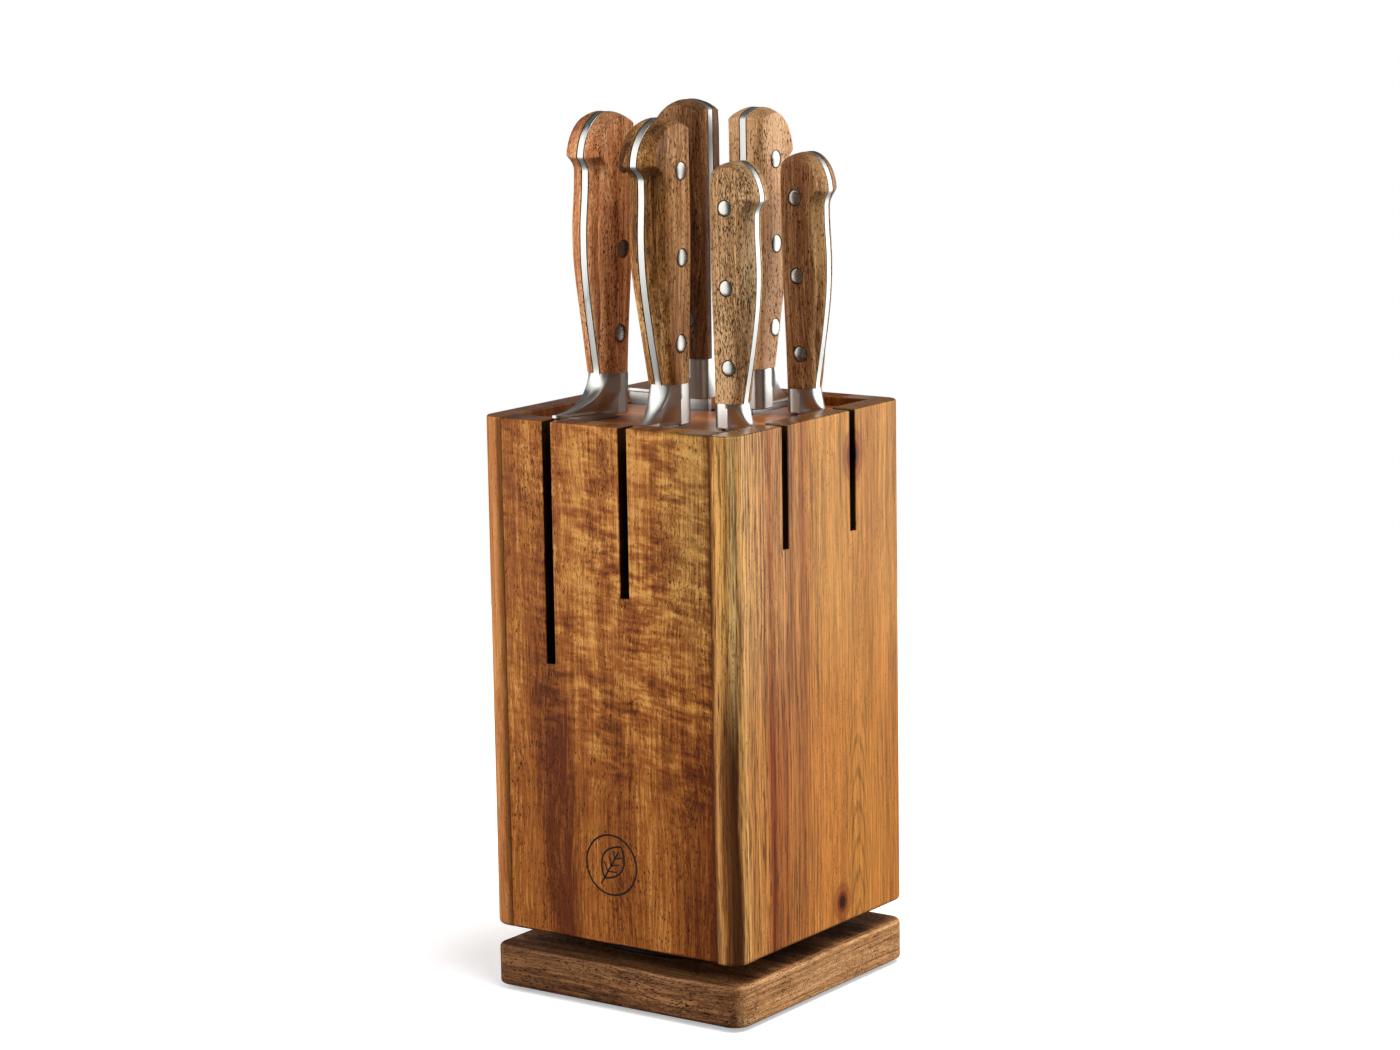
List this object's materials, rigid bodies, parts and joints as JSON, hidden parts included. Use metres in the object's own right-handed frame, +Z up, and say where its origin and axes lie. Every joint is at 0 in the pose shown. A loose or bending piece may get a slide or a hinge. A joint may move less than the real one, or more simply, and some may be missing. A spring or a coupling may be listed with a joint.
{
  "type": "knife block with knives",
  "caption": "Square wooden knife block on a turntable base, with full-tang riveted knives that lift out of slots in a recessed top plate.",
  "frame": {"origin": "on the table under the middle of the base board, at the underside of the feet", "axes": "+Z up; the block's long-notched front panel faces -Y and the right panel faces +X"},
  "size_m": [0.13, 0.13, 0.3806],
  "materials": {
    "acacia_front": "satin oiled, curly figured grain running up",
    "acacia_side": "satin oiled, straight grain running up",
    "acacia_plate": "glossy oiled, grain running across",
    "acacia_floor": "plain sanded",
    "acacia_base": "satin oiled dark grain",
    "bearing_black": "satin black",
    "ball_steel": "satin",
    "screw_steel": "zinc plated",
    "foot_rubber": "matt",
    "blade_steel": "satin brushed, polished reflections",
    "rivet_steel": "satin",
    "chef_handle": "satin reddish brown",
    "carving_handle": "satin golden brown with a dark streak",
    "utility_handle": "satin mid brown, many dark pores",
    "paring_handle": "satin mid brown",
    "santoku_handle": "satin dark brown",
    "bread_handle": "satin light tan"
  },
  "bodies": {
    "base": {"base_board": "acacia_base", "lower_bearing_plate": "bearing_black", "lower_screw_1": "screw_steel", "lower_screw_2": "screw_steel", "lower_screw_3": "screw_steel", "lower_screw_4": "screw_steel", "foot_1": "foot_rubber", "foot_2": "foot_rubber", "foot_3": "foot_rubber", "foot_4": "foot_rubber"},
    "ball_ring": {"ball_ring": "ball_steel"},
    "block": {"front_panel": "acacia_front", "right_panel": "acacia_side", "back_panel": "acacia_front", "left_panel": "acacia_side", "slot_plate": "acacia_plate", "floor_panel": "acacia_floor", "upper_bearing_plate": "bearing_black", "upper_screw_1": "screw_steel", "upper_screw_2": "screw_steel", "upper_screw_3": "screw_steel", "upper_screw_4": "screw_steel"},
    "chef_knife": {"chef_knife_steel": "blade_steel", "chef_knife_scale_left": "chef_handle", "chef_knife_scale_right": "chef_handle", "chef_knife_rivet_1": "rivet_steel", "chef_knife_rivet_2": "rivet_steel", "chef_knife_rivet_3": "rivet_steel"},
    "carving_knife": {"carving_knife_steel": "blade_steel", "carving_knife_scale_left": "carving_handle", "carving_knife_scale_right": "carving_handle", "carving_knife_rivet_1": "rivet_steel", "carving_knife_rivet_2": "rivet_steel", "carving_knife_rivet_3": "rivet_steel"},
    "utility_knife": {"utility_knife_steel": "blade_steel", "utility_knife_scale_left": "utility_handle", "utility_knife_scale_right": "utility_handle", "utility_knife_rivet_1": "rivet_steel", "utility_knife_rivet_2": "rivet_steel", "utility_knife_rivet_3": "rivet_steel"},
    "paring_knife": {"paring_knife_steel": "blade_steel", "paring_knife_scale_left": "paring_handle", "paring_knife_scale_right": "paring_handle", "paring_knife_rivet_1": "rivet_steel", "paring_knife_rivet_2": "rivet_steel", "paring_knife_rivet_3": "rivet_steel"},
    "santoku_knife": {"santoku_knife_steel": "blade_steel", "santoku_knife_scale_left": "santoku_handle", "santoku_knife_scale_right": "santoku_handle", "santoku_knife_rivet_1": "rivet_steel", "santoku_knife_rivet_2": "rivet_steel", "santoku_knife_rivet_3": "rivet_steel"},
    "bread_knife": {"bread_knife_steel": "blade_steel", "bread_knife_scale_left": "bread_handle", "bread_knife_scale_right": "bread_handle", "bread_knife_rivet_1": "rivet_steel", "bread_knife_rivet_2": "rivet_steel", "bread_knife_rivet_3": "rivet_steel"}
  },
  "joints": [
    {"name": "turntable", "type": "hinge", "parent": "base", "child": "block", "pos_m": [0, 0, 0.0241], "axis": [0, 0, 1], "continuous": true},
    {"name": "ball_ring_roll", "type": "hinge", "parent": "base", "child": "ball_ring", "pos_m": [0, 0, 0.0241], "axis": [0, 0, 1], "continuous": true},
    {"name": "chef_lift", "type": "slide", "parent": "block", "child": "chef_knife", "axis": [0, 0.0506, 0.9987], "range_m": [0, 0.212]},
    {"name": "carving_lift", "type": "slide", "parent": "block", "child": "carving_knife", "axis": [0, 0, 1], "range_m": [0, 0.215]},
    {"name": "utility_lift", "type": "slide", "parent": "block", "child": "utility_knife", "axis": [0, 0, 1], "range_m": [0, 0.145]},
    {"name": "paring_lift", "type": "slide", "parent": "block", "child": "paring_knife", "axis": [-0.0157, 0, 0.9999], "range_m": [0, 0.105]},
    {"name": "santoku_lift", "type": "slide", "parent": "block", "child": "santoku_knife", "axis": [0, 0, 1], "range_m": [0, 0.192]},
    {"name": "bread_lift", "type": "slide", "parent": "block", "child": "bread_knife", "axis": [0, 0, 1], "range_m": [0, 0.215]}
  ],
  "couplings": [
    {"joint": "ball_ring_roll", "follows": "turntable", "ratio": 0.5}
  ]
}
